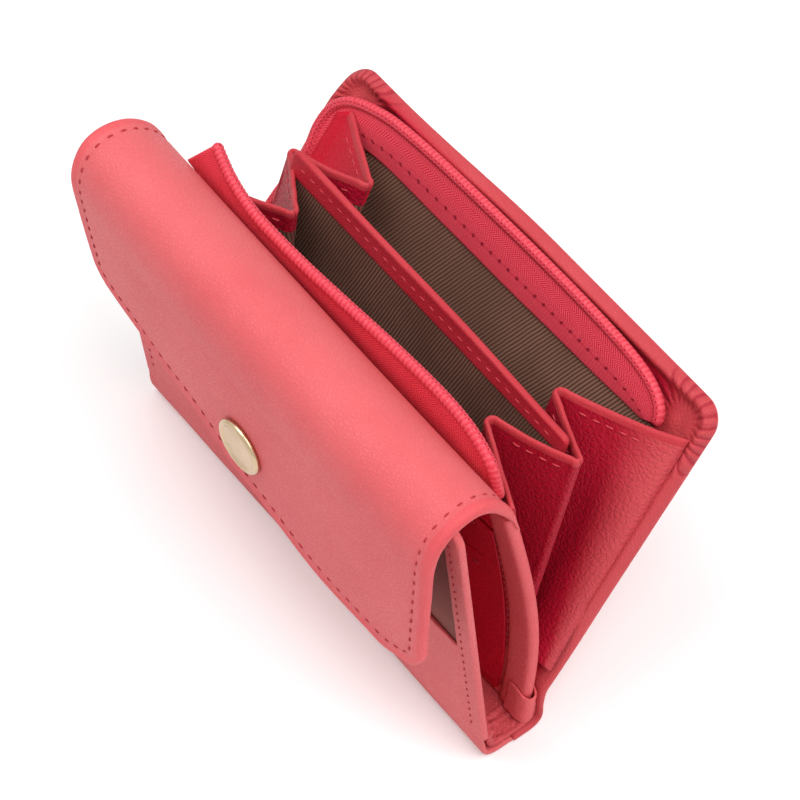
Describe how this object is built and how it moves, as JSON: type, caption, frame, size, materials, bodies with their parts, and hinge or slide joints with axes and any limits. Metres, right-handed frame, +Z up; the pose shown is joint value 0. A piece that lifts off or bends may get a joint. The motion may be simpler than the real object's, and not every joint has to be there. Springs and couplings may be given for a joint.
{
  "type": "wallet",
  "caption": "Small folding leather wallet with a zip-round gusseted coin pocket, a divider, a card section and a snap flap, standing open on its spine.",
  "frame": {"origin": "middle of the flat base, on the underside of the spine", "axes": "+X along the wallet to the coin pocket's right end seen from the flap side, +Y from the flap to the rear cover, +Z up"},
  "size_m": [0.1063, 0.0641, 0.0809],
  "materials": {
    "leather": "grained, semi-matt",
    "lining": "ribbed weave, matt",
    "tape": "herringbone tape, matt",
    "coil": "satin",
    "metal": "pale gold, polished"
  },
  "bodies": {
    "coin_section": {"spine_cover": "leather", "spine_lining": "leather", "middle_panel": "leather", "coin_lining_front": "lining", "card_pocket_1": "leather", "card_pocket_2": "leather", "end_tab_right": "leather", "end_tab_left": "leather", "front_zip_tape": "tape", "front_zip_coil": "coil", "gusset_right": "leather", "gusset_left": "leather"},
    "rear_cover": {"rear_panel": "leather", "rear_lining": "lining", "rear_zip_tape": "tape", "rear_zip_coil": "coil"},
    "divider": {"divider_lining": "lining", "divider_band": "leather", "zip_chain_end": "coil", "zip_end_tape": "tape"},
    "front_cover": {"front_panel": "leather", "front_facing": "lining", "front_pocket": "leather", "front_lining": "lining", "snap_stud": "metal"},
    "flap": {"flap": "leather", "flap_lining": "leather", "snap_cap": "metal", "snap_socket": "metal"},
    "zip_slider": {"zip_slider": "metal"},
    "zip_pull": {"zip_pull": "metal"}
  },
  "joints": [
    {"name": "rear_cover_fold", "type": "hinge", "parent": "coin_section", "child": "rear_cover", "pos_m": [0, 0.0062, 0.009], "axis": [-1, 0, 0], "range_deg": [-18, 15], "deforming": ["gusset_right", "gusset_left"]},
    {"name": "divider_fold", "type": "hinge", "parent": "coin_section", "child": "divider", "pos_m": [0, 0.00363, 0.009], "axis": [-1, 0, 0], "range_deg": [-9, 7.5], "deforming": ["gusset_right", "gusset_left"]},
    {"name": "flap_fold", "type": "hinge", "parent": "coin_section", "child": "flap", "pos_m": [0, -0.00107, 0.06963], "axis": [-1, 0, 0], "range_deg": [0, 110], "deforming": ["front_zip_tape", "front_zip_coil"]},
    {"name": "front_cover_fold", "type": "hinge", "parent": "coin_section", "child": "front_cover", "pos_m": [0, -0.0052, 0.0061], "axis": [1, 0, 0], "range_deg": [0, 10]},
    {"name": "slider_slide", "type": "slide", "parent": "divider", "child": "zip_slider", "axis": [0, 0.2943, 0.9557], "range_m": [0, 0.008]},
    {"name": "pull_swing", "type": "hinge", "parent": "zip_slider", "child": "zip_pull", "pos_m": [-0.0552, 0.00702, 0.01999], "axis": [0, 0.9557, -0.2943], "range_deg": [0, 160]}
  ],
  "couplings": [
    {"joint": "divider_fold", "follows": "rear_cover_fold", "ratio": 0.5},
    {"joint": "front_cover_fold", "follows": "flap_fold", "ratio": 0.09}
  ]
}
